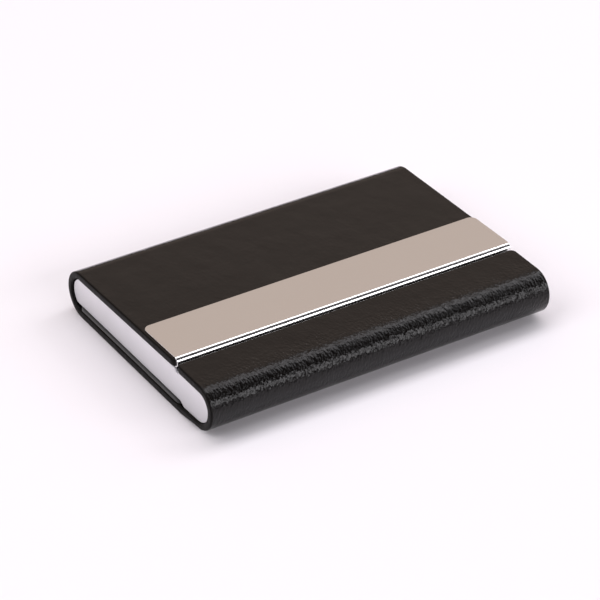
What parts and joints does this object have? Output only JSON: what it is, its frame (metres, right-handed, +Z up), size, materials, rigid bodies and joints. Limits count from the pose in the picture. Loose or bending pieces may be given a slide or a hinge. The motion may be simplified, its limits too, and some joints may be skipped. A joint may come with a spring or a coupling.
{
  "type": "business card case",
  "caption": "Flat leather-covered pocket case for business cards with a book-opening lid, a metal tray, a wide steel edge strip and a magnetic flap.",
  "frame": {"origin": "middle of the base's footprint, on the surface the case lies on", "axes": "+X along the case, +Y from the rounded nose to the spine that bends, +Z up through the closed lid"},
  "size_m": [0.095, 0.0684, 0.0138],
  "materials": {
    "leather": "fine grained black leather, semi-gloss",
    "strip_steel": "polished stainless steel",
    "tray_metal": "light silver satin",
    "lining": "black suede-like lining",
    "board": "pressed grey board",
    "shell_plastic": "black moulded sheet",
    "magnet": "nickel plated bar magnet"
  },
  "bodies": {
    "base": {"base_leather": "leather", "front_shell": "shell_plastic", "front_lining": "lining", "closure_magnet_left": "magnet", "closure_magnet_right": "magnet", "base_board": "board", "base_lining": "lining", "tray": "tray_metal"},
    "spine_1": {"spine_leather_1": "leather", "spine_lining_1": "lining"},
    "spine_2": {"spine_leather_2": "leather", "spine_lining_2": "lining"},
    "spine_3": {"spine_leather_3": "leather", "spine_lining_3": "lining"},
    "lid": {"lid_leather": "leather", "lid_board": "board", "lid_lining": "lining", "edge_strip": "strip_steel"}
  },
  "joints": [
    {"name": "spine_bend_1", "type": "hinge", "parent": "base", "child": "spine_1", "pos_m": [0, 0.028, 0], "axis": [-1, 0, 0], "range_deg": [0, 29.7]},
    {"name": "spine_bend_2", "type": "hinge", "parent": "spine_1", "child": "spine_2", "pos_m": [0, 0.03341, 0.00313], "axis": [-1, 0, 0], "range_deg": [0, 59.4]},
    {"name": "spine_bend_3", "type": "hinge", "parent": "spine_2", "child": "spine_3", "pos_m": [0, 0.03341, 0.00937], "axis": [-1, 0, 0], "range_deg": [0, 59.4]},
    {"name": "lid_hinge", "type": "hinge", "parent": "spine_3", "child": "lid", "pos_m": [0, 0.028, 0.0125], "axis": [-1, 0, 0], "range_deg": [0, 29.7]}
  ],
  "couplings": [
    {"joint": "spine_bend_1", "follows": "lid_hinge", "ratio": 1},
    {"joint": "spine_bend_2", "follows": "lid_hinge", "ratio": 2},
    {"joint": "spine_bend_3", "follows": "lid_hinge", "ratio": 2}
  ]
}
